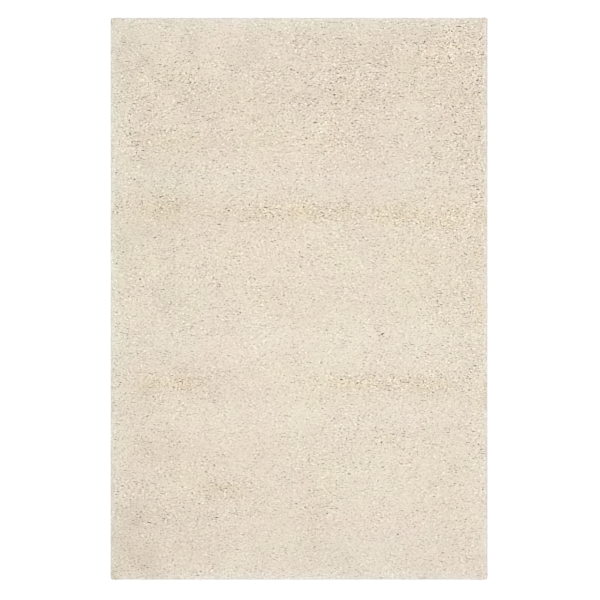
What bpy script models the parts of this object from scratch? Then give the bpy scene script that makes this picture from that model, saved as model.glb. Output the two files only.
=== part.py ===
"""A rectangular shag rug, lying flat on the floor.

A shag rug is one piece of cloth, so it is one solid: a slab of deep pile with an uneven top and a
flat underside. Locks of yarn lean out all round its rim and rest level on the floor.
"""

import math
import random
from collections import namedtuple

import bmesh
import bpy
from mathutils import Vector, noise

# Driving dimensions, in metres. X is the rug's width, Y its length, and the floor is at Z = 0.
RUG_WIDTH = 1.220
RUG_LENGTH = 1.821
PILE_HEIGHT = 0.035
CORNER_RADIUS = 0.006

# The rim. The slab ends a lock's reach inside the rug's outline, and the locks fill the rest.
LOCK_REACH = 0.014
SHOULDER_HEIGHT = 0.029
SHOULDER_WIDTH = 0.022
RIM_ROWS = (0.008, 0.012)

# How uneven the locks are: the furthest that one stops short of the outline, the furthest that the
# line between two roots is moved, the most that a tip leans aside as a share of its lock's width,
# and the most that it droops as a share of its height.
LOCK_SHORTFALL = 0.003
ROOT_SHIFT = 0.003
SWAY_SHARE = 0.08
DROOP_SHARE = 0.25

# The cells of the top between its rim rows. Each one at the rim carries two locks.
CELLS_ACROSS = 27
CELLS_ALONG = 42
LONGEST_LOCK_ROOT = 0.030

# The top's unevenness about that height: broad waves, clumps of tufts, and single tufts.
Lump = namedtuple("Lump", "wavelength rise place")
LUMPS = (
    Lump(wavelength=0.420, rise=0.0030, place=3.0),
    Lump(wavelength=0.110, rise=0.0050, place=11.0),
)
TUFT_RISE = 0.0025

# Troughs across the rug where the pile has parted, such as along an old fold.
Parting = namedtuple("Parting", "y half_width depth")
PARTINGS = (
    Parting(y=0.273, half_width=0.045, depth=0.0040),
    Parting(y=-0.276, half_width=0.045, depth=0.0040),
)

# A lock's sections, outwards from its root: how far along its reach, and its width and height
# there against those of its root.
Section = namedtuple("Section", "along width height")
LOCK_SECTIONS = (
    Section(along=0.55, width=0.88, height=0.82),
    Section(along=1.00, width=0.60, height=0.42),
)

SEED = 20
OUTLINE_STEPS = 12
SHARP_EDGE_DEGREES = 50
YARN_COLOR = (0.768, 0.686, 0.565, 1.0)
YARN_ROUGHNESS = 0.95

SLAB_HALF_X = RUG_WIDTH / 2 - LOCK_REACH
SLAB_HALF_Y = RUG_LENGTH / 2 - LOCK_REACH
SLAB_CORNER = sum(RIM_ROWS)


def clear_scene():
    for old in list(bpy.data.objects):
        bpy.data.objects.remove(old, do_unlink=True)


def distance_inside(x, y, half_x, half_y, radius):
    """How far a point lies inside a rectangle with round corners, and below zero outside it."""
    past_x = abs(x) - (half_x - radius)
    past_y = abs(y) - (half_y - radius)
    outside = math.hypot(max(past_x, 0.0), max(past_y, 0.0))
    return radius - outside - min(max(past_x, past_y), 0.0)


def grid_lines(half, cells):
    """The grid's lines from -half to half: narrow rows along both rims, and even ones between."""
    first_rim = [-half]
    for row in RIM_ROWS[:-1]:
        first_rim.append(first_rim[-1] + row)
    inner_half = half - sum(RIM_ROWS)
    middle = [inner_half * (2 * i / cells - 1) for i in range(cells + 1)]
    last_rim = [-line for line in reversed(first_rim)]
    return first_rim + middle + last_rim


def rounded(x, y):
    """Moves a point of the grid's square corner onto the slab's round one."""
    past_x = abs(x) - (SLAB_HALF_X - SLAB_CORNER)
    past_y = abs(y) - (SLAB_HALF_Y - SLAB_CORNER)
    if past_x <= 0 or past_y <= 0:
        return x, y
    radius = max(past_x, past_y)
    if past_x >= past_y:
        angle = math.pi / 4 * past_y / past_x
    else:
        angle = math.pi / 2 - math.pi / 4 * past_x / past_y
    corner_x = SLAB_HALF_X - SLAB_CORNER + radius * math.cos(angle)
    corner_y = SLAB_HALF_Y - SLAB_CORNER + radius * math.sin(angle)
    return math.copysign(corner_x, x), math.copysign(corner_y, y)


def pile_height(x, y, tufts):
    """The height of the pile over a point of the slab."""
    height = PILE_HEIGHT + TUFT_RISE * tufts.uniform(-1, 1)
    for lump in LUMPS:
        place = Vector((x / lump.wavelength, y / lump.wavelength, lump.place))
        height += lump.rise * noise.noise(place)
    for parting in PARTINGS:
        off_centre = (y - parting.y) / parting.half_width
        height -= parting.depth * math.exp(-off_centre * off_centre)
    inside = distance_inside(x, y, SLAB_HALF_X, SLAB_HALF_Y, SLAB_CORNER)
    from_crown = 1 - min(max(inside, 0.0) / SHOULDER_WIDTH, 1.0)
    rise = math.sqrt(1 - from_crown * from_crown)
    return SHOULDER_HEIGHT + (height - SHOULDER_HEIGHT) * rise


def split_rim(mesh):
    """Splits each wide cell's edge at the rim, near its middle, into the roots of two locks."""
    chance = random.Random(SEED)
    wide = [e for e in mesh.edges if e.is_boundary and e.calc_length() > LONGEST_LOCK_ROOT]
    made = bmesh.ops.subdivide_edges(mesh, edges=wide, cuts=1)["geom_inner"]
    for vert in (g for g in made if isinstance(g, bmesh.types.BMVert)):
        shift = ROOT_SHIFT * chance.uniform(-1, 1)
        if abs(vert.co.y) > SLAB_HALF_Y - SLAB_CORNER:
            vert.co.x += shift
        else:
            vert.co.y += shift


def add_top(mesh):
    """The uneven top, as a grid whose outer edges are the roots of the locks."""
    x_lines = grid_lines(SLAB_HALF_X, CELLS_ACROSS)
    y_lines = grid_lines(SLAB_HALF_Y, CELLS_ALONG)
    cells_x = len(x_lines) - 1
    cells_y = len(y_lines) - 1
    bmesh.ops.create_grid(mesh, x_segments=cells_x, y_segments=cells_y, size=1.0)
    for vert in mesh.verts:
        column = round((vert.co.x + 1) / 2 * cells_x)
        row = round((vert.co.y + 1) / 2 * cells_y)
        vert.co = (x_lines[column], y_lines[row], 0.0)
    split_rim(mesh)
    tufts = random.Random(SEED)
    for vert in mesh.verts:
        x, y = rounded(vert.co.x, vert.co.y)
        vert.co = (x, y, pile_height(x, y, tufts))


def add_walls(mesh):
    """The rim's walls, down to the floor, and the flat underside. Returns the walls."""
    rim = [e for e in mesh.edges if e.is_boundary]
    made = bmesh.ops.extrude_edge_only(mesh, edges=rim)["geom"]
    walls = [g for g in made if isinstance(g, bmesh.types.BMFace)]
    feet = [g for g in made if isinstance(g, bmesh.types.BMVert)]
    for vert in feet:
        vert.co.z = 0.0
    bmesh.ops.contextual_create(mesh, geom=[e for e in mesh.edges if e.is_boundary])
    bmesh.ops.recalc_face_normals(mesh, faces=mesh.faces)
    return walls


def reach_to_outline(root, outward):
    """How far it is from a lock's root, along its direction, to the rug's outline."""
    reach = 0.0
    for _ in range(OUTLINE_STEPS):
        point = root + outward * reach
        reach += distance_inside(point.x, point.y, RUG_WIDTH / 2, RUG_LENGTH / 2, CORNER_RADIUS)
    return reach


def fan_out(root, out_by):
    """How much wider the space for a lock gets this far out, where the rim turns a corner."""
    in_corner = abs(root.x) > SLAB_HALF_X - SLAB_CORNER and abs(root.y) > SLAB_HALF_Y - SLAB_CORNER
    return 1 + out_by / SLAB_CORNER if in_corner else 1.0


def add_lock(mesh, wall, chance):
    """Draws one wall out into a tapered lock of four sides that droops onto the floor."""
    outward = Vector((wall.normal.x, wall.normal.y, 0.0)).normalized()
    aside = Vector((-outward.y, outward.x, 0.0))
    root = wall.calc_center_median()
    root.z = 0.0
    corners = [vert.co.copy() for vert in wall.verts]
    width = max((a - b).dot(aside) for a in corners for b in corners)
    sway = width * SWAY_SHARE * chance.uniform(-1, 1)
    short_by = max(chance.uniform(-LOCK_SHORTFALL, LOCK_SHORTFALL), 0.0)
    droop = DROOP_SHARE * chance.random()
    full_reach = reach_to_outline(root, outward)
    end = wall
    for section in LOCK_SECTIONS:
        end = bmesh.ops.extrude_discrete_faces(mesh, faces=[end])["faces"][0]
        for vert, corner in zip(end.verts, corners, strict=True):
            across = (corner - root).dot(aside) * section.width + sway * section.along
            start = root + aside * across * fan_out(root, full_reach * section.along)
            reach = reach_to_outline(start, outward) - short_by
            vert.co = start + outward * (reach * section.along)
            vert.co.z = corner.z * section.height * (1 - droop * section.along)


def build_rug():
    mesh = bmesh.new()
    add_top(mesh)
    chance = random.Random(SEED)
    for wall in add_walls(mesh):
        add_lock(mesh, wall, chance)
    data = bpy.data.meshes.new("shag_rug")
    mesh.to_mesh(data)
    mesh.free()
    data.shade_smooth()
    data.set_sharp_from_angle(angle=math.radians(SHARP_EDGE_DEGREES))
    return bpy.data.objects.new("shag_rug", data)


def yarn_material():
    material = bpy.data.materials.new("shag_yarn")
    material.use_nodes = True
    shader = material.node_tree.nodes["Principled BSDF"]
    shader.inputs["Base Color"].default_value = YARN_COLOR
    shader.inputs["Roughness"].default_value = YARN_ROUGHNESS
    shader.inputs["Metallic"].default_value = 0.0
    return material


def main():
    clear_scene()
    collection = bpy.data.collections.new("shag_rug")
    bpy.context.scene.collection.children.link(collection)
    rug = build_rug()
    rug.data.materials.append(yarn_material())
    collection.objects.link(rug)


main()
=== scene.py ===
"""The looks of the shag rug: its tufts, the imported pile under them, its backing, and a studio.

Everything is in metres, with X across the rug, Y along it and the floor at Z = 0.
"""

import math
from collections import namedtuple

import bpy
import numpy as np
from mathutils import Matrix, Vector
from mathutils.bvhtree import BVHTree


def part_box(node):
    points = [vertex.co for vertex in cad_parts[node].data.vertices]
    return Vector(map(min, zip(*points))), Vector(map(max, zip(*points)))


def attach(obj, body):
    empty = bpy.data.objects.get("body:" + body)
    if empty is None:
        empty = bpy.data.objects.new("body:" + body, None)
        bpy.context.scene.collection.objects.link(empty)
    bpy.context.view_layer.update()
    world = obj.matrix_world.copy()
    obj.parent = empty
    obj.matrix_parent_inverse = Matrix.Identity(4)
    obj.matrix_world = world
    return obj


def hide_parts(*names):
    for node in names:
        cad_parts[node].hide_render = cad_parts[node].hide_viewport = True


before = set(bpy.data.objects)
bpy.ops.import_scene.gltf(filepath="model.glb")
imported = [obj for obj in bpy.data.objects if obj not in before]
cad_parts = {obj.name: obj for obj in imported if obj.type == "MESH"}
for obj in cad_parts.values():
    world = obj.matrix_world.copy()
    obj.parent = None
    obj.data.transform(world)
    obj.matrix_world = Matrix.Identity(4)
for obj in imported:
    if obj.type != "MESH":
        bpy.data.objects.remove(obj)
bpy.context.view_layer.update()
RUG = "shag_rug"
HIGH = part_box(RUG)[1]
HALF_X = HIGH.x
HALF_Y = HIGH.y

# The radius of the outline's corners, and the seed of the random draws.
CORNER = 0.006
SEED = 11

# The photograph: its side, and the rug's outline in it, in pixels.
PHOTO_SIDE = 600
PHOTO_LEFT, PHOTO_RIGHT = 111.0, 487.2
PHOTO_TOP, PHOTO_BOTTOM = 18.0, 579.5
PIXEL = 2 * HALF_X / (PHOTO_RIGHT - PHOTO_LEFT)
PHOTO_CENTRE_X = (PHOTO_LEFT + PHOTO_RIGHT) / 2
PHOTO_CENTRE_Y = (PHOTO_TOP + PHOTO_BOTTOM) / 2

# Smooth noise over the rug: how long its waves are, and its seed. It runs between the points of a
# square lattice that repeats, with the rug's middle at LATTICE_MIDDLE.
Noise = namedtuple("Noise", "wavelength seed")
LATTICE = 64
LATTICE_MIDDLE = (31.0, 29.0)


# ---------------------------------------------------------------- sizes and places of the field

# The field's tufts stand on a grid and are made in strips. The first tuft in a row stands FIRST_IN_ROW
# of a space in, and every second row is half a space along.
FIELD_INSET = 0.006
STRIPS = 5
SPACING_X = 0.0050
SPACING_Y = 0.0036
FIRST_IN_ROW = 0.25
ROW_SHIFT = 0.5

# A field tuft has a root, a ring of points at its shoulder, and a tip. It is wider across the rug than
# along it, in a direction that strays by TURN_SCATTER radians.
TUFT_SIDES = 3
TUFT_RADIUS = 0.0049
RADIUS_SCATTER = 0.08
STRETCH = 1.20
STRETCH_SCATTER = 0.05
TURN_SCATTER = 0.30
ROOT_DEPTH = 0.015
LOWEST_ROOT = 0.002
SHOULDER_DROP = 0.0010
SHOULDER_SHARE = 0.6

# How far the tips lean, together with their neighbours and each by itself.
LEAN_X = 0.0015
LEAN_Y = 0.0010
LEAN_TOGETHER = 0.6
LEAN_ALONE = 0.8
LEAN_NOISE_X = Noise(0.05, 1)
LEAN_NOISE_Y = Noise(0.05, 2)

# The round shoulder at the rim: its width, the share of the height that it falls, and how far its
# tufts lean out.
EDGE_WIDTH = 0.022
EDGE_FALL = 0.40
EDGE_LEAN = 0.0030

# How tufts stray: by themselves and in rows that sway together, both in spacings, and in height.
# The tightest pile strays UNREST_LOW times as far, and the pile strays no further once its looseness
# is past UNREST_CAP.
JITTER = 0.14
ROW_SWAY = 0.26
TIP_SCATTER = 0.0005
UNREST_LOW = 0.6
UNREST_CAP = 1.1

# The grain's waves: the longest kept, and the shortest kept along a row, which is GRAIN_LENGTH for
# tone and ROW_LENGTH for sway and warmth.
LONGEST_WAVE = 0.020
GRAIN_LENGTH = 0.002
ROW_LENGTH = 0.006

# Where the pile is looser, so that small dark gaps show between the tufts, or tighter, where the
# amount is below 0. Places are in the photograph's pixels.
LoosePlace = namedtuple("LoosePlace", "photo_x photo_y half_width half_height amount")
LOOSE_PLACES = (
    LoosePlace(452, 48, 36, 30, 2.1),
    LoosePlace(466, 110, 28, 44, 1.3),
    LoosePlace(345, 75, 40, 45, 0.8),
    LoosePlace(350, 145, 34, 18, 0.8),
    LoosePlace(190, 110, 90, 60, 0.3),
    LoosePlace(150, 142, 40, 12, 0.3),
    LoosePlace(145, 208, 30, 9, 1.6),
    LoosePlace(290, 212, 60, 9, 1.3),
    LoosePlace(400, 216, 34, 9, 1.4),
    LoosePlace(460, 220, 24, 9, 1.5),
    LoosePlace(468, 270, 32, 110, 0.40),
    LoosePlace(182, 382, 22, 8, 1.8),
    LoosePlace(360, 380, 30, 7, 1.9),
    LoosePlace(425, 383, 34, 7, 1.9),
    LoosePlace(386, 438, 9, 7, 1.0),
    LoosePlace(232, 488, 24, 9, 0.8),
    LoosePlace(316, 515, 14, 30, 0.5),
    LoosePlace(250, 335, 130, 24, -0.15),
    LoosePlace(300, 405, 170, 14, -0.20),
    LoosePlace(215, 435, 80, 26, -0.14),
    LoosePlace(300, 550, 170, 26, -0.20),
    LoosePlace(195, 42, 80, 28, -0.26),
    LoosePlace(290, 110, 90, 40, 0.20),
    LoosePlace(370, 505, 110, 60, -0.16),
    LoosePlace(195, 358, 80, 14, -0.18),
)
LOOSE_EVERYWHERE = 0.30
LOOSE_UNEVEN = 0.5
LOOSE_STREAK_STRETCH = 5
LOOSE_STREAKS = Noise(0.011, 40)
LOOSE_PATCHES = Noise(0.045, 41)

# The gaps: the share of tufts that sink where the looseness is 1, how far they sink, and how long
# along a row and how wide across the rows the gaps are. A tuft sinks all the way a little inside its
# gap's edge, and counts as sunk past SUNK_DEPTH.
Gap = namedtuple("Gap", "share depth length width")
GAPS = (
    Gap(share=0.014, depth=0.014, length=0.006, width=0.000),
    Gap(share=0.003, depth=0.026, length=0.012, width=0.000),
    Gap(share=0.001, depth=0.016, length=0.024, width=0.000),
    Gap(share=0.0007, depth=0.026, length=0.009, width=0.006),
)
GAP_EDGE = 0.5
SUNK_DEPTH = 0.005


# ---------------------------------------------------------------- the yarn's colour

# The root's darker, warmer colour is painted shade: the shade deep in the pile.
ROOT_SHADE_COLOR = (0.705, 0.538, 0.318)
TIP_COLOR = (0.700, 0.628, 0.526)

# What one unit of warmth, of paleness at the rim and of blush adds to red, green and blue.
WARM = np.array([0.004, -0.006, -0.030])
PALE = np.array([0.03, 0.14, 0.33])
BLUSH = np.array([0, -1, 0])

# How the tufts differ from each other: in tone, more so in patches, where the lightest stand out more
# than the darkest, and in warmth, which is less the lighter a tuft is. A tuft is lighter for each one
# beside it that has sunk, and none is lighter than LIGHTEST.
TONE_SCATTER = 0.090
TONE_SKEW = 0.12
TONE_PATCH = 0.5
TONE_PATCHES = Noise(0.035, 16)
WARMTH_SCATTER = 0.15
WARMTH_BY_TONE = 0.8
GAP_RIM = 1.0
LIGHTEST = 0.30

# How the colour differs over the rug, in tone, warmth and blush, and by how loose the pile is; the warmth
# of loose pile is painted shade.
WIDE_TONE = 0.010
WIDE_TONES = Noise(0.16, 8)
STREAK_TONE = 0.010
STREAK_STRETCH = 6
STREAKS = Noise(0.03, 9)
WIDE_WARMTH = 0.3
WIDE_WARMTHS = Noise(0.12, 10)
LOOSE_TONE = 0.018
LOOSE_SHADE_WARMTH = 0.5
BLUSH_AMOUNT = 0.012
BLUSHES = [Noise(0.03 * 2 ** k, 13 + k) for k in range(4)]

# Bands and patches that are lighter or darker, warmer or cooler, and greener or pinker than the rest, and
# how uneven they are. Places are in the photograph's pixels. Some are painted light and shade, as marked
# below.
TintPlace = namedtuple(
    "TintPlace", "photo_x photo_y half_width half_height tone warmth green", defaults=[0.0]
)
TINT_LIGHT_AND_SHADE_PLACES = (
    # Darker, warmer patches where the pile opens: painted shade in the deep pile that shows there.
    TintPlace(430, 60, 130, 6, -0.018, 0.3),
    TintPlace(380, 97, 170, 6, -0.018, 0.6),
    TintPlace(155, 140, 60, 8, -0.022, 1.2),
    # A lighter, cooler band beside the first crease: painted light on its raised side.
    TintPlace(300, 180, 400, 10, 0.012, -0.9),
    # Warmer bands along the first crease: painted shade in the opened pile.
    TintPlace(165, 214, 50, 10, -0.002, 1.4),
    TintPlace(300, 214, 45, 10, 0.004, 1.0),
    TintPlace(390, 216, 40, 10, 0.004, 1.3),
    TintPlace(462, 218, 30, 10, -0.002, 0.8),
    # A lighter, cooler band beside the second crease: painted light on its raised side.
    TintPlace(320, 345, 300, 22, 0.022, -0.8),
    # Warmer bands along the second crease: painted shade in the opened pile.
    TintPlace(165, 384, 36, 9, -0.010, 1.2),
    TintPlace(350, 384, 26, 9, 0.006, 1.4),
    TintPlace(430, 384, 40, 8, 0.006, 0.9),
    TintPlace(320, 420, 200, 12, 0.016, -0.9),
    # Darker, warmer patches where the pile opens: painted shade.
    TintPlace(224, 490, 24, 8, -0.010, 1.0),
    TintPlace(316, 505, 14, 40, -0.010, 0.9),
    TintPlace(385, 540, 60, 22, 0.006, -0.9),
    TintPlace(128, 545, 70, 90, -0.052, 0.6),
    TintPlace(122, 300, 70, 270, -0.044, 0.1),
    TintPlace(165, 60, 70, 50, -0.024, 0.0),
    TintPlace(300, 30, 400, 110, -0.024, 0.0),
    TintPlace(270, 505, 60, 50, -0.014, 0.0),
    TintPlace(320, 580, 300, 50, -0.022, 0.0),
    TintPlace(170, 430, 60, 40, -0.012, 0.3),
    TintPlace(480, 300, 6, 260, 0.000, 1.8),
    # Thin lighter lines at the left and right rims: painted light on the rim's shaded tufts.
    TintPlace(112, 300, 1.5, 290, 0.080, 0.0),
    TintPlace(486, 300, 1.5, 290, 0.060, 0.0),
    TintPlace(300, 548, 50, 26, -0.020, 0.0),
    TintPlace(455, 515, 36, 60, -0.018, 0.0),
    TintPlace(335, 113, 64, 26, 0.017, 0.0),
    TintPlace(150, 60, 40, 30, -0.014, 0.0),
    TintPlace(225, 238, 40, 20, 0.014, 0.0),
    TintPlace(440, 238, 44, 20, 0.012, 0.0),
    TintPlace(117, 300, 7, 280, 0.000, 0.0, 0.026),
    TintPlace(480, 300, 4, 280, 0.000, 0.0, 0.006),
    TintPlace(300, 26, 200, 6, 0.000, 0.0, 0.022),
    TintPlace(300, 568, 200, 12, 0.000, 0.0, -0.014),
)
PLACES_UNEVEN = 0.9
PLACE_PATCHES = Noise(0.07, 12)

# The tufts are paler and lighter at the rim, by these amounts that fade over these depths; the lightening
# is painted light on the rim's steep tufts, which stand in shade.
Fade = namedtuple("Fade", "amount depth")
RIM_PALE = (Fade(0.6, 0.008), Fade(0.4, 0.025))
RIM_PAINTED_LIGHT = Fade(0.10, 0.003)


# ---------------------------------------------------------------- sizes of the rim

# The rows of tufts that hang over the rim, from the floor up: how far in their roots are, how high
# the roots, the crests and the tips are, how far inside the outline the tips end, and their spacing.
RimRow = namedtuple("RimRow", "root_in root_z crest_z tip_in tip_z spacing")
RIM_ROWS = (
    RimRow(root_in=0.012, root_z=0.004, crest_z=0.005, tip_in=0.000, tip_z=0.000, spacing=0.0040),
    RimRow(root_in=0.014, root_z=0.010, crest_z=0.014, tip_in=0.000, tip_z=0.002, spacing=0.0044),
    RimRow(root_in=0.016, root_z=0.013, crest_z=0.020, tip_in=0.000, tip_z=0.006, spacing=0.0046),
    RimRow(root_in=0.018, root_z=0.016, crest_z=0.026, tip_in=0.001, tip_z=0.011, spacing=0.0048),
    RimRow(root_in=0.018, root_z=0.020, crest_z=0.031, tip_in=0.002, tip_z=0.015, spacing=0.0050),
    RimRow(root_in=0.020, root_z=0.024, crest_z=0.034, tip_in=0.003, tip_z=0.020, spacing=0.0052),
)

# The radius of the corners that the tips follow, and how far from a corner the tufts start to fan out.
TIP_CORNER = 0.001
CORNER_FAN = 0.030

# A rim tuft: where its points are along it, how thick and how stretched its rings are, and how it
# strays. Its slip along the rim is in spacings.
RIM_STATIONS = np.array([0.0, 0.30, 0.62, 0.90, 1.0])
RIM_RADIUS = 0.0026
RIM_THICKNESS = np.array([1.0, 1.05, 0.9])
RIM_STRETCH = (1.0, 1.2)
RIM_SIDES = 3
RIM_SLIP = 0.2
RIM_REACH_SCATTER = 0.0008
RIM_SWAY = 0.0030
RIM_SWAY_POWER = 1.6
RIM_TIP_SCATTER = 0.0025
RIM_CREST_SCATTER = 0.0015

# How pale the rim's highest row is: the lower rows are less so.
RIM_ROW_PALE = 0.6
RIM_TOP = RIM_ROWS[-1].crest_z

# No point of a tuft is lower than this.
LOWEST_POINT = 0.0004

# How far above the solid's top the rays start that measure its height.
RAY_START = 0.1

# How far each ring of a tuft is turned from the one before, in radians.
TWIST = 0.5

# The wool's own fine grain: how far it runs along a tuft, and how far it moves to the next.
GRAIN_ALONG = 1.5
GRAIN_STEP = 3.7

# The empty edge of each tuft's cell in the map, as a share of the cell.
CELL_MARGIN = 0.1


# ---------------------------------------------------------------- sizes of what is under the tufts

# The imported pile at the bottom of the gaps, which rises from a low rim to an uneven middle, dark with
# painted shade.
GROUND_INSET = 0.012
GROUND_BOTTOM = 0.0024
GROUND_RIM_HEIGHT = 0.008
GROUND_RIM_WIDTH = 0.03
GROUND_HEIGHT = 0.012
GROUND_UNEVEN = 0.002
GROUND_NOISE = Noise(0.02, 33)
GROUND_PITCH = 0.015
# This dark colour is painted shade deep between the tufts.
GROUND_SHADE_COLOR = (0.30, 0.185, 0.075)

# The woven backing, and how wide its threads are.
BACKING_INSET = 0.010
BACKING_BOTTOM = 0.0
BACKING_TOP = 0.002
BACKING_PITCH = 0.12
BACKING_COLOR = (0.70, 0.62, 0.50)
THREAD = 0.008


# ---------------------------------------------------------------- noise


def from_photo(px, py):
    """A point on the rug from its place in the photograph."""
    return (px - PHOTO_CENTRE_X) * PIXEL, (PHOTO_CENTRE_Y - py) * PIXEL


def wander(x, y, noise):
    """Smooth noise from -1 to 1 over the rug."""
    lattice = np.random.default_rng(noise.seed).uniform(-1, 1, (LATTICE, LATTICE))
    u = x / noise.wavelength + LATTICE_MIDDLE[0]
    v = y / noise.wavelength + LATTICE_MIDDLE[1]
    i = np.floor(u).astype(int)
    j = np.floor(v).astype(int)
    fu = u - i
    fv = v - j
    fu = fu * fu * (3 - 2 * fu)
    fv = fv * fv * (3 - 2 * fv)
    a = lattice[i % LATTICE, j % LATTICE]
    b = lattice[(i + 1) % LATTICE, j % LATTICE]
    c = lattice[i % LATTICE, (j + 1) % LATTICE]
    d = lattice[(i + 1) % LATTICE, (j + 1) % LATTICE]
    return (a * (1 - fu) + b * fu) * (1 - fv) + (c * (1 - fu) + d * fu) * fv


def grain(chance, columns, rows, length, width=0.0):
    """Noise for each tuft in a grid, without its long waves.

    Waves shorter than length along a row, or than width across the rows, are weak too.
    """
    across = np.fft.fftfreq(columns, SPACING_X)[:, None]
    up = np.fft.rfftfreq(rows, SPACING_Y)[None]
    keep = np.exp(-(across * length) ** 2 - (up * width) ** 2)
    keep *= 1 - np.exp(-(across ** 2 + up ** 2) * LONGEST_WAVE ** 2)
    noise = np.fft.irfft2(np.fft.rfft2(chance.normal(0, 1, (columns, rows))) * keep, (columns, rows))
    return (noise / noise.std()).reshape(-1)


# ---------------------------------------------------------------- fields over the rug


def inside(x, y):
    """How far points lie inside the rug's outline."""
    past_x = np.abs(x) - (HALF_X - CORNER)
    past_y = np.abs(y) - (HALF_Y - CORNER)
    outside = np.hypot(np.maximum(past_x, 0), np.maximum(past_y, 0))
    return CORNER - outside - np.minimum(np.maximum(past_x, past_y), 0)


def pile_height(x, y):
    """The height of the solid's uneven top over each point."""
    node = bpy.data.objects[RUG]
    tree = BVHTree.FromObject(node, bpy.context.evaluated_depsgraph_get())
    above = HIGH.z + RAY_START
    down = Vector((0, 0, -1))
    heights = np.empty(len(x))
    for i, (px, py) in enumerate(zip(x.tolist(), y.tolist())):
        hit = tree.ray_cast(Vector((px, py, above)), down)[0]
        heights[i] = hit.z if hit else 0.0
    return heights


def edge_top(x, y):
    """The height of the pile's top: the solid's, falling over a round shoulder at the rim."""
    pull = np.maximum(EDGE_WIDTH - inside(x, y), 0)
    at_x = np.clip(x, -HALF_X + EDGE_WIDTH, HALF_X - EDGE_WIDTH)
    at_y = np.clip(y, -HALF_Y + EDGE_WIDTH, HALF_Y - EDGE_WIDTH)
    fall = 1 - np.sqrt(np.maximum(1 - (pull / EDGE_WIDTH) ** 2, 0))
    return pile_height(at_x, at_y) * (1 - EDGE_FALL * fall)


def nearness(place, x, y):
    """How near points are to a place: 1 at its middle, and almost nothing well outside it."""
    cx, cy = from_photo(place.photo_x, place.photo_y)
    off_x = (x - cx) / (place.half_width * PIXEL)
    off_y = (y - cy) / (place.half_height * PIXEL)
    return np.exp(-off_x ** 2 - off_y ** 2)


def looseness(x, y):
    """How loose the pile is: where it is 0, no tuft sinks."""
    loose = np.full(len(x), LOOSE_EVERYWHERE)
    for place in LOOSE_PLACES:
        loose += place.amount * nearness(place, x, y)
    streak = wander(x / LOOSE_STREAK_STRETCH, y, LOOSE_STREAKS)
    patch = wander(x, y, LOOSE_PATCHES)
    return np.maximum(loose, 0) * (1 + LOOSE_UNEVEN * streak + LOOSE_UNEVEN * patch)


def tint(x, y):
    """The tone, warmth and blush over the rug: the yarn's own, with painted light and shade where the pile
    is loose, along the creases and at the rims.
    """
    loose = looseness(x, y)
    tone = WIDE_TONE * wander(x, y, WIDE_TONES)
    tone = tone + STREAK_TONE * wander(x / STREAK_STRETCH, y, STREAKS) + LOOSE_TONE * loose
    warmth = WIDE_WARMTH * wander(x, y, WIDE_WARMTHS) + LOOSE_SHADE_WARMTH * loose
    blush = BLUSH_AMOUNT * sum(wander(x, y, noise) for noise in BLUSHES)
    patch = 1 + PLACES_UNEVEN * wander(x, y, PLACE_PATCHES)
    for place in TINT_LIGHT_AND_SHADE_PLACES:
        share = nearness(place, x, y) * patch
        tone += place.tone * share
        warmth += place.warmth * share
        blush -= place.green * share
    return tone, warmth, blush


def tint_color(tone_grain, warmth_grain, x, y, pale_share=1.0):
    """A colour for each tuft to multiply the yarn's own by.

    It is paler and greyer near the rim, by pale_share of the full amount, and lighter right at the rim, as
    painted light on the rim's shaded tufts.
    """
    tone, warmth, blush = tint(x, y)
    tone = tone + TONE_SCATTER * tone_grain
    warmth = warmth + WARMTH_SCATTER * warmth_grain - WARMTH_BY_TONE * tone_grain
    edge = np.maximum(inside(x, y), 0)
    pale = pale_share * sum(fade.amount * np.exp(-edge / fade.depth) for fade in RIM_PALE)
    tone = np.minimum(tone + RIM_PAINTED_LIGHT.amount * np.exp(-edge / RIM_PAINTED_LIGHT.depth), LIGHTEST)
    color = 1 + warmth[:, None] * WARM + pale[:, None] * PALE + blush[:, None] * BLUSH
    return (1 + tone)[:, None] * color


# ---------------------------------------------------------------- meshes of many tufts


def unit(v):
    """The same directions, each of length 1."""
    return v / np.maximum(np.linalg.norm(v, axis=-1, keepdims=True), 1e-9)


def tuft_faces(sides, rings):
    """The faces of one tuft: a fan at the root, bands of quads, and a fan at the tip.

    Returns the point at each corner of each face, where each face starts, and each corner's place in
    the map.
    """
    corners, starts, places = [], [], []
    for s in range(sides):
        starts.append(len(corners))
        corners += [1 + (s + 1) % sides, 1 + s, 0]
        places += [(s + 1, 1), (s, 1), (s + 0.5, 0)]
    for k in range(rings - 1):
        low = 1 + k * sides
        for s in range(sides):
            n = (s + 1) % sides
            starts.append(len(corners))
            corners += [low + s, low + n, low + sides + n, low + sides + s]
            places += [(s, k + 1), (s + 1, k + 1), (s + 1, k + 2), (s, k + 2)]
    low = 1 + (rings - 1) * sides
    tip = low + sides
    for s in range(sides):
        starts.append(len(corners))
        corners += [low + s, low + (s + 1) % sides, tip]
        places += [(s, rings), (s + 1, rings), (s + 0.5, rings + 1)]
    return np.array(corners), np.array(starts), np.array(places, dtype=float)


def tuft_points(path, radii, stretch, guide, angle):
    """The points of many tufts: each one's root, its rings and its tip."""
    tangent = unit(path[:, 2:] - path[:, :-2])
    side = unit(guide[:, None] - tangent * (guide[:, None] * tangent).sum(-1, keepdims=True))
    other = np.cross(tangent, side)
    wide = radii * stretch[:, None]
    thin = radii / stretch[:, None]
    ring = (
        path[:, 1:-1, None]
        + side[:, :, None] * (wide[:, :, None] * np.cos(angle))[..., None]
        + other[:, :, None] * (thin[:, :, None] * np.sin(angle))[..., None]
    )
    points = np.concatenate([path[:, :1], ring.reshape(len(path), -1, 3), path[:, -1:]], axis=1)
    points[..., 2] = np.maximum(points[..., 2], LOWEST_POINT)
    return points


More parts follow.
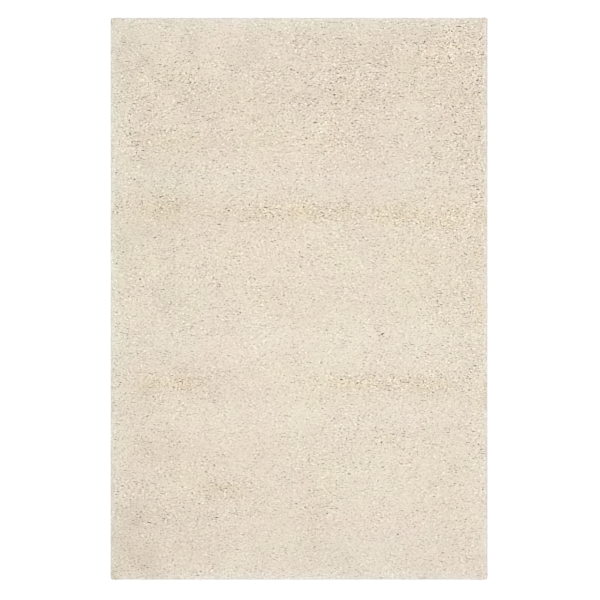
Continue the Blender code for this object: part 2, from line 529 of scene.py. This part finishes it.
def tuft_mesh(name, path, radii, stretch, guide, turn, sides, colors):
    """One mesh of many closed tufts. path is (tufts, rings + 2, 3), from the root to the tip."""
    tufts, stations = path.shape[:2]
    rings = stations - 2
    per_tuft = rings * sides + 2
    angle = 2 * np.pi * np.arange(sides) / sides
    angle = angle[None, None] + turn[:, None, None] + TWIST * np.arange(rings)[None, :, None]
    points = tuft_points(path, radii, stretch, guide, angle)
    corners, starts, places = tuft_faces(sides, rings)

    mesh = bpy.data.meshes.new(name)
    mesh.vertices.add(tufts * per_tuft)
    mesh.vertices.foreach_set("co", points.reshape(-1).astype(np.float32))
    index = (np.arange(tufts)[:, None] * per_tuft + corners).reshape(-1)
    mesh.loops.add(len(index))
    mesh.loops.foreach_set("vertex_index", index.astype(np.int32))
    start = (np.arange(tufts)[:, None] * len(corners) + starts).reshape(-1)
    mesh.polygons.add(len(start))
    mesh.polygons.foreach_set("loop_start", start.astype(np.int32))
    mesh.update(calc_edges=True)
    mesh.polygons.foreach_set("use_smooth", np.ones(len(start), dtype=bool))

    # Each tuft has a cell of its own in the map.
    columns = math.ceil(math.sqrt(tufts))
    cell = np.stack(np.divmod(np.arange(tufts), columns), axis=-1)
    spot = CELL_MARGIN + (1 - 2 * CELL_MARGIN) * places / [sides, rings + 1]
    uv = (cell[:, None] + spot[None]) / columns
    layer = mesh.uv_layers.new(name="OFBake")
    layer.uv.foreach_set("vector", uv.reshape(-1).astype(np.float32))

    along = np.concatenate([[0.0], np.repeat((1 + np.arange(rings)) / (rings + 1), sides), [1.0]])
    layer = mesh.attributes.new("along", "FLOAT", "POINT")
    layer.data.foreach_set("value", np.tile(along, tufts).astype(np.float32))
    add_vectors(mesh, "tint", np.repeat(colors, per_tuft, axis=0))
    strand = np.zeros((tufts, per_tuft, 3))
    strand[:, 1:-1, 0] = np.cos(angle).reshape(tufts, -1)
    strand[:, 1:-1, 1] = np.sin(angle).reshape(tufts, -1)
    strand[:, :, 2] = along * GRAIN_ALONG + np.arange(tufts)[:, None] * GRAIN_STEP
    add_vectors(mesh, "strand", strand)
    return add_object(name, mesh)


def add_vectors(mesh, name, vectors):
    """Gives each point of a mesh a vector that materials can read."""
    layer = mesh.attributes.new(name, "FLOAT_VECTOR", "POINT")
    layer.data.foreach_set("vector", vectors.reshape(-1).astype(np.float32))


def add_object(name, data):
    """A new object in the scene."""
    made = bpy.data.objects.new(name, data)
    bpy.context.scene.collection.objects.link(made)
    return made


# ---------------------------------------------------------------- the field


def beside_gaps(sink):
    """How many of the four tufts beside each one in the grid have sunk, for those that haven't."""
    sunk = sink > SUNK_DEPTH
    beside = sum(np.roll(sunk, step, axis=axis).astype(float) for step in (-1, 1) for axis in (0, 1))
    return np.where(sunk, 0, beside)


def field_tufts(material):
    """The tufts of the rug's field, in strips along its length."""
    chance = np.random.default_rng(SEED)
    half_x = HALF_X - FIELD_INSET
    half_y = HALF_Y - FIELD_INSET
    columns = round(2 * half_x / SPACING_X)
    rows = round(2 * half_y / SPACING_Y)
    i, j = np.meshgrid(np.arange(columns), np.arange(rows), indexing="ij")
    x = ((i + FIRST_IN_ROW + ROW_SHIFT * (j % 2)) / columns * 2 - 1) * half_x
    y = ((j + 0.5) / rows * 2 - 1) * half_y
    x = x.reshape(-1)
    y = y.reshape(-1)
    n = len(x)
    loose = looseness(x, y)
    unrest = UNREST_LOW + (1 - UNREST_LOW) * np.clip(loose, 0, UNREST_CAP)
    sway = ROW_SWAY * grain(chance, columns, rows, ROW_LENGTH)
    x = np.clip(x + chance.normal(0, JITTER * SPACING_X, n) * unrest, -half_x, half_x)
    y = np.clip(y + (chance.normal(0, JITTER, n) + sway) * SPACING_Y * unrest, -half_y, half_y)

    top = edge_top(x, y)
    near_x = np.clip(1 - (HALF_X - np.abs(x)) / EDGE_WIDTH, 0, 1)
    near_y = np.clip(1 - (HALF_Y - np.abs(y)) / EDGE_WIDTH, 0, 1)
    alone_x = chance.normal(0, LEAN_ALONE, n) * unrest
    lean_x = LEAN_X * (LEAN_TOGETHER * wander(x, y, LEAN_NOISE_X) + alone_x)
    lean_x = lean_x * (1 - near_x) + np.sign(x) * EDGE_LEAN * near_x
    alone_y = chance.normal(0, LEAN_ALONE, n) * unrest
    lean_y = LEAN_Y * (LEAN_TOGETHER * wander(x, y, LEAN_NOISE_Y) + alone_y)
    lean_y = lean_y * (1 - near_y) + np.sign(y) * EDGE_LEAN * near_y

    sink = np.zeros(n)
    for gap in GAPS:
        order = np.argsort(np.argsort(grain(chance, columns, rows, gap.length, gap.width)))
        sunk = gap.share * loose * n / (order + 1)
        sink = np.maximum(sink, gap.depth * np.clip((sunk - 1) / GAP_EDGE, 0, 1))
    tip_z = top + chance.normal(0, TIP_SCATTER, n) * unrest - sink

    tone_grain = grain(chance, columns, rows, GRAIN_LENGTH)
    patch = 1 + TONE_PATCH * wander(x, y, TONE_PATCHES)
    tone_grain = patch * unrest * (tone_grain + TONE_SKEW * (tone_grain ** 2 - 1))
    tone_grain += GAP_RIM * beside_gaps(sink.reshape(columns, rows)).reshape(-1)
    colors = tint_color(tone_grain, grain(chance, columns, rows, ROW_LENGTH), x, y)

    path = np.empty((n, 3, 3))
    path[:, 0] = np.stack([x, y, np.maximum(tip_z - ROOT_DEPTH, LOWEST_ROOT)], axis=-1)
    shoulder_x = x + SHOULDER_SHARE * lean_x
    shoulder_y = y + SHOULDER_SHARE * lean_y
    path[:, 1] = np.stack([shoulder_x, shoulder_y, tip_z - SHOULDER_DROP], axis=-1)
    path[:, 2] = np.stack([x + lean_x, y + lean_y, tip_z], axis=-1)
    radii = TUFT_RADIUS * chance.normal(1, RADIUS_SCATTER, (n, 1))
    stretch = STRETCH * chance.uniform(1 - STRETCH_SCATTER, 1 + STRETCH_SCATTER, n)
    turn = chance.uniform(0, 2 * np.pi, n)
    skew = chance.normal(0, TURN_SCATTER, n)
    guide = np.stack([np.cos(skew), np.sin(skew), np.zeros(n)], axis=-1)

    strip = np.minimum(((x + half_x) / (2 * half_x) * STRIPS).astype(int), STRIPS - 1)
    made = []
    for s in range(STRIPS):
        pick = strip == s
        piece = tuft_mesh(
            f"pile_field_{s + 1}", path[pick], radii[pick], stretch[pick], guide[pick], turn[pick],
            TUFT_SIDES, colors[pick],
        )
        piece.data.materials.append(material)
        made.append(piece)
    return made


# ---------------------------------------------------------------- the rim


def rim_walk(spacing):
    """Points evenly spaced along the outline, and the outward direction at each, fanned at the corners."""
    straight_x = 2 * (HALF_X - TIP_CORNER)
    straight_y = 2 * (HALF_Y - TIP_CORNER)
    arc = math.pi / 2 * TIP_CORNER
    ends = np.cumsum([straight_x, arc, straight_y, arc] * 2)
    count = round(ends[-1] / spacing)
    s = (np.arange(count) + 0.5) / count * ends[-1]
    leg = np.searchsorted(ends, s)
    done = s - np.concatenate([[0], ends])[leg]
    on_arc = leg % 2 == 1
    quarter = leg // 2
    turned = np.where(on_arc, done / TIP_CORNER, 0) + quarter * np.pi / 2
    out = np.stack([np.sin(turned), -np.cos(turned)], axis=-1)
    step = done - np.where(quarter % 2 == 0, straight_x, straight_y) / 2
    # The corners' centres, in walking order: the lower right one comes first.
    corner_x = np.array([1, 1, -1, -1])[quarter] * (HALF_X - TIP_CORNER)
    corner_y = np.array([-1, 1, 1, -1])[quarter] * (HALF_Y - TIP_CORNER)
    x = np.where(on_arc, corner_x + TIP_CORNER * out[:, 0], out[:, 0] * HALF_X - out[:, 1] * step)
    y = np.where(on_arc, corner_y + TIP_CORNER * out[:, 1], out[:, 1] * HALF_Y + out[:, 0] * step)
    core_x = np.clip(x, -HALF_X + CORNER_FAN, HALF_X - CORNER_FAN)
    core_y = np.clip(y, -HALF_Y + CORNER_FAN, HALF_Y - CORNER_FAN)
    return x, y, unit(np.stack([x - core_x, y - core_y], axis=-1))


def rim_tufts(material):
    """The tufts that lean out over the rug's edge, down to the floor."""
    chance = np.random.default_rng(SEED + 1)
    paths, radii, colors, guides = [], [], [], []
    t = RIM_STATIONS
    for row in RIM_ROWS:
        x, y, out = rim_walk(row.spacing)
        n = len(x)
        aside = np.stack([-out[:, 1], out[:, 0]], axis=-1)
        slip = chance.normal(0, RIM_SLIP * row.spacing, n)
        reach = row.root_in - row.tip_in - np.abs(chance.normal(0, RIM_REACH_SCATTER, n))
        x = x - out[:, 0] * row.root_in + aside[:, 0] * slip
        y = y - out[:, 1] * row.root_in + aside[:, 1] * slip
        sway = chance.normal(0, RIM_SWAY, n)
        tip_z = row.tip_z + np.abs(chance.normal(0, RIM_TIP_SCATTER, n))
        crest_z = row.crest_z + chance.normal(0, RIM_CREST_SCATTER, n)

        # Each path is a curve that leaves its root towards its crest and ends at its tip.
        near_crest = 2 * t * (1 - t)
        outward = reach[:, None] * (near_crest + t * t)
        sideways = sway[:, None] * t ** RIM_SWAY_POWER
        path = np.empty((n, len(t), 3))
        path[..., 0] = x[:, None] + out[:, :1] * outward + aside[:, :1] * sideways
        path[..., 1] = y[:, None] + out[:, 1:] * outward + aside[:, 1:] * sideways
        path[..., 2] = (1 - t) ** 2 * row.root_z + near_crest * crest_z[:, None] + t * t * tip_z[:, None]
        path[..., 0] = np.clip(path[..., 0], -HALF_X, HALF_X)
        path[..., 1] = np.clip(path[..., 1], -HALF_Y, HALF_Y)
        paths.append(path)
        radii.append(RIM_RADIUS * chance.normal(1, RADIUS_SCATTER, n)[:, None] * RIM_THICKNESS)
        guides.append(np.concatenate([aside, np.zeros((n, 1))], axis=-1))

        tone_grain, warmth_grain = chance.normal(0, 1, (2, n))
        tip_x = x + out[:, 0] * reach
        tip_y = y + out[:, 1] * reach
        pale_share = RIM_ROW_PALE * (row.crest_z / RIM_TOP) ** 2
        colors.append(tint_color(tone_grain, warmth_grain, tip_x, tip_y, pale_share))
    path = np.concatenate(paths)
    n = len(path)
    piece = tuft_mesh(
        "pile_rim", path, np.concatenate(radii), chance.uniform(*RIM_STRETCH, n), np.concatenate(guides),
        chance.uniform(0, 2 * np.pi, n), RIM_SIDES, np.concatenate(colors),
    )
    piece.data.materials.append(material)
    return piece


# ---------------------------------------------------------------- ground and backing


def slab_mesh(name, half_x, half_y, bottom, top_of, pitch):
    """A closed slab with a flat underside and a top that follows a function, in cells of about pitch."""
    cells_x = round(2 * half_x / pitch)
    cells_y = round(2 * half_y / pitch)
    gx = np.linspace(-half_x, half_x, cells_x + 1)
    gy = np.linspace(-half_y, half_y, cells_y + 1)
    x, y = (g.reshape(-1) for g in np.meshgrid(gx, gy, indexing="ij"))
    top = np.stack([x, y, top_of(x, y)], axis=-1)
    low = np.stack([x, y, np.full(len(x), bottom)], axis=-1)
    index = np.arange(len(x)).reshape(cells_x + 1, cells_y + 1)
    a, b, c, d = index[:-1, :-1], index[1:, :-1], index[1:, 1:], index[:-1, 1:]
    faces = np.stack([a, b, c, d], axis=-1).reshape(-1, 4)
    under = faces[:, ::-1] + len(x)
    ring = np.concatenate([index[:-1, 0], index[-1, :-1], index[:0:-1, -1], index[0, :0:-1]])
    after = np.roll(ring, -1)
    walls = np.stack([ring, ring + len(x), after + len(x), after], axis=-1)
    points = np.concatenate([top, low])
    mesh = bpy.data.meshes.new(name)
    mesh.from_pydata(points.tolist(), [], np.concatenate([faces, under, walls]).tolist())
    mesh.update()
    return add_object(name, mesh)


def ground_top(x, y):
    """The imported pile's top: uneven, and falling to a low rim."""
    rim = np.clip(inside(x, y) / GROUND_RIM_WIDTH, 0, 1)
    middle = GROUND_HEIGHT + GROUND_UNEVEN * wander(x, y, GROUND_NOISE)
    return GROUND_RIM_HEIGHT + (middle - GROUND_RIM_HEIGHT) * np.sqrt(rim)


def ground(material):
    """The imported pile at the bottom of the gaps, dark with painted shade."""
    half_x = HALF_X - GROUND_INSET
    half_y = HALF_Y - GROUND_INSET
    made = slab_mesh("pile_ground", half_x, half_y, GROUND_BOTTOM, ground_top, GROUND_PITCH)
    made.data.materials.append(material)
    made.data.shade_smooth()
    return made


def backing_top(x, y):
    """The backing's flat top."""
    return np.full(len(x), BACKING_TOP)


def backing(material, half_x, half_y):
    """The woven cloth under the pile."""
    made = slab_mesh("backing", half_x, half_y, BACKING_BOTTOM, backing_top, BACKING_PITCH)
    made.data.materials.append(material)
    return made


# ---------------------------------------------------------------- materials


def new_material(name, roughness):
    """A plain material, its nodes and links, and its shader."""
    material = bpy.data.materials.new(name)
    material.use_nodes = True
    nodes = material.node_tree.nodes
    shader = nodes["Principled BSDF"]
    shader.inputs["Roughness"].default_value = roughness
    return material, nodes, material.node_tree.links, shader


def attribute(nodes, name, output):
    """What a mesh holds at each point under a name."""
    node = nodes.new("ShaderNodeAttribute")
    node.attribute_name = name
    return node.outputs[output]


def scaled(nodes, links, value, low, high, full=1.0):
    """A value that runs from low to high while another runs from 0 to full."""
    node = nodes.new("ShaderNodeMapRange")
    node.inputs["From Max"].default_value = full
    node.inputs["To Min"].default_value = low
    node.inputs["To Max"].default_value = high
    links.new(value, node.inputs["Value"])
    return node.outputs["Result"]


def bump_by_height(nodes, links, shader, height, strength, distance):
    """Tilts a surface's shading as if it rose and fell by a height."""
    bump = nodes.new("ShaderNodeBump")
    bump.inputs["Strength"].default_value = strength
    bump.inputs["Distance"].default_value = distance
    links.new(height, bump.inputs["Height"])
    links.new(bump.outputs["Normal"], shader.inputs["Normal"])


def shade_by_height(nodes, links, shader, color, height, low, high):
    """Paints shade into a surface's colour: darker where it is low and lighter where it is high."""
    scale = nodes.new("ShaderNodeVectorMath")
    scale.operation = "SCALE"
    scale.inputs["Vector"].default_value = color
    links.new(scaled(nodes, links, height, low, high), scale.inputs["Scale"])
    links.new(scale.outputs["Vector"], shader.inputs["Base Color"])


def yarn_material(name, root_shade_color, tip_color):
    """Yarn that is warmer and darker at its root, as painted shade deep in the pile, times its tuft's own
    tint, with a faint mottle.
    """
    material, nodes, links, shader = new_material(name, roughness=0.85)
    mix = nodes.new("ShaderNodeMix")
    mix.data_type = "RGBA"
    mix.inputs["A"].default_value = (*root_shade_color, 1)
    mix.inputs["B"].default_value = (*tip_color, 1)
    along = attribute(nodes, "along", "Fac")
    links.new(scaled(nodes, links, along, low=0, high=1, full=0.5), mix.inputs["Factor"])
    product = nodes.new("ShaderNodeVectorMath")
    product.operation = "MULTIPLY"
    links.new(mix.outputs["Result"], product.inputs[0])
    links.new(attribute(nodes, "tint", "Vector"), product.inputs[1])
    fibres = nodes.new("ShaderNodeTexNoise")
    fibres.inputs["Scale"].default_value = 3.0
    fibres.inputs["Detail"].default_value = 3.0
    links.new(attribute(nodes, "strand", "Vector"), fibres.inputs["Vector"])
    scale = nodes.new("ShaderNodeVectorMath")
    scale.operation = "SCALE"
    links.new(product.outputs["Vector"], scale.inputs["Vector"])
    mottle = scaled(nodes, links, fibres.outputs["Fac"], low=0.95, high=1.05)
    links.new(mottle, scale.inputs["Scale"])
    links.new(scale.outputs["Vector"], shader.inputs["Base Color"])
    bump_by_height(nodes, links, shader, fibres.outputs["Fac"], strength=0.3, distance=0.0006)
    shader.inputs["Specular IOR Level"].default_value = 0.1
    shader.inputs["Sheen Weight"].default_value = 0.05
    shader.inputs["Sheen Roughness"].default_value = 0.5
    return material


def deep_shade_material(name, color):
    """Packed wool seen deep between the tufts, dark with painted shade: soft, matt and uneven in tone, and
    darker in its small hollows as painted shade too.
    """
    material, nodes, links, shader = new_material(name, roughness=0.95)
    coordinates = nodes.new("ShaderNodeTexCoord")
    noise = nodes.new("ShaderNodeTexNoise")
    noise.inputs["Scale"].default_value = 400
    links.new(coordinates.outputs["Object"], noise.inputs["Vector"])
    # The wool is darker in its small hollows: painted shade.
    shade_by_height(nodes, links, shader, color, noise.outputs["Fac"], low=0.8, high=1.2)
    bump_by_height(nodes, links, shader, noise.outputs["Fac"], strength=0.5, distance=0.001)
    return material


def weave_material(name, color):
    """A plain weave: threads along the rug and across it pass over each other in turn."""
    material, nodes, links, shader = new_material(name, roughness=0.95)
    coordinates = nodes.new("ShaderNodeTexCoord")
    over = nodes.new("ShaderNodeTexChecker")
    over.inputs["Scale"].default_value = 1 / THREAD
    links.new(coordinates.outputs["Object"], over.inputs["Vector"])
    threads = nodes.new("ShaderNodeMix")
    links.new(over.outputs["Fac"], threads.inputs["Factor"])
    # A wave repeats every pi / (10 * scale), which makes it one thread wide here.
    for direction, socket in (("X", "A"), ("Y", "B")):
        wave = nodes.new("ShaderNodeTexWave")
        wave.bands_direction = direction
        wave.inputs["Scale"].default_value = math.pi / (10 * THREAD)
        wave.inputs["Distortion"].default_value = 0.6
        links.new(coordinates.outputs["Object"], wave.inputs["Vector"])
        links.new(wave.outputs["Fac"], threads.inputs[socket])
    # The threads are darker where they dip: painted shade between them.
    shade_by_height(nodes, links, shader, color, threads.outputs["Result"], low=0.72, high=1.08)
    bump_by_height(nodes, links, shader, threads.outputs["Result"], strength=0.8, distance=0.001)
    return material


# ---------------------------------------------------------------- studio


def sky(strength=1.0):
    """A white sky, which lights the rug evenly from all round."""
    world = bpy.data.worlds.new("studio")
    world.use_nodes = True
    background = world.node_tree.nodes["Background"]
    background.inputs["Color"].default_value = (1, 1, 1, 1)
    background.inputs["Strength"].default_value = strength
    bpy.context.scene.world = world


def lamp(energy=0.95, angle=1.0, height=6):
    """A wide soft light straight above."""
    light = bpy.data.lights.new("overhead", "SUN")
    light.energy = energy
    light.angle = angle
    made = add_object("overhead", light)
    made.location = (0, 0, height)


def floor(half=12, tone=0.96):
    """A plain pale floor."""
    mesh = bpy.data.meshes.new("floor")
    corners = [(-half, -half, 0), (half, -half, 0), (half, half, 0), (-half, half, 0)]
    mesh.from_pydata(corners, [], [(0, 1, 2, 3)])
    material, *_, shader = new_material("floor", roughness=0.9)
    shader.inputs["Base Color"].default_value = (tone, tone, tone, 1)
    mesh.materials.append(material)
    made = add_object("floor", mesh)


def camera(lens=100, sensor=36, plane=0.016):
    """A camera straight above, which sees the height called plane at the photograph's scale."""
    eye = bpy.data.cameras.new("camera")
    eye.lens = lens
    eye.sensor_width = sensor
    made = add_object("camera", eye)
    side = PHOTO_SIDE * PIXEL
    middle_x = (PHOTO_SIDE / 2 - PHOTO_CENTRE_X) * PIXEL
    middle_y = (PHOTO_CENTRE_Y - PHOTO_SIDE / 2) * PIXEL
    made.location = (middle_x, middle_y, plane + side * lens / sensor)
    bpy.context.scene.camera = made


# ---------------------------------------------------------------- the rug

yarn = yarn_material("yarn", ROOT_SHADE_COLOR, TIP_COLOR)
deep = deep_shade_material("deep_pile_shade", GROUND_SHADE_COLOR)
cloth = weave_material("backing_cloth", BACKING_COLOR)
backing_half_x = HALF_X - BACKING_INSET
backing_half_y = HALF_Y - BACKING_INSET
strips = field_tufts(yarn)
rim = rim_tufts(yarn)
under = ground(deep)
back = backing(cloth, backing_half_x, backing_half_y)
for piece in [*strips, rim, under, back]:
    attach(piece, "root")
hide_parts(RUG)

bpy.context.scene.view_settings.view_transform = "Standard"
sky()
floor()
lamp()
camera()
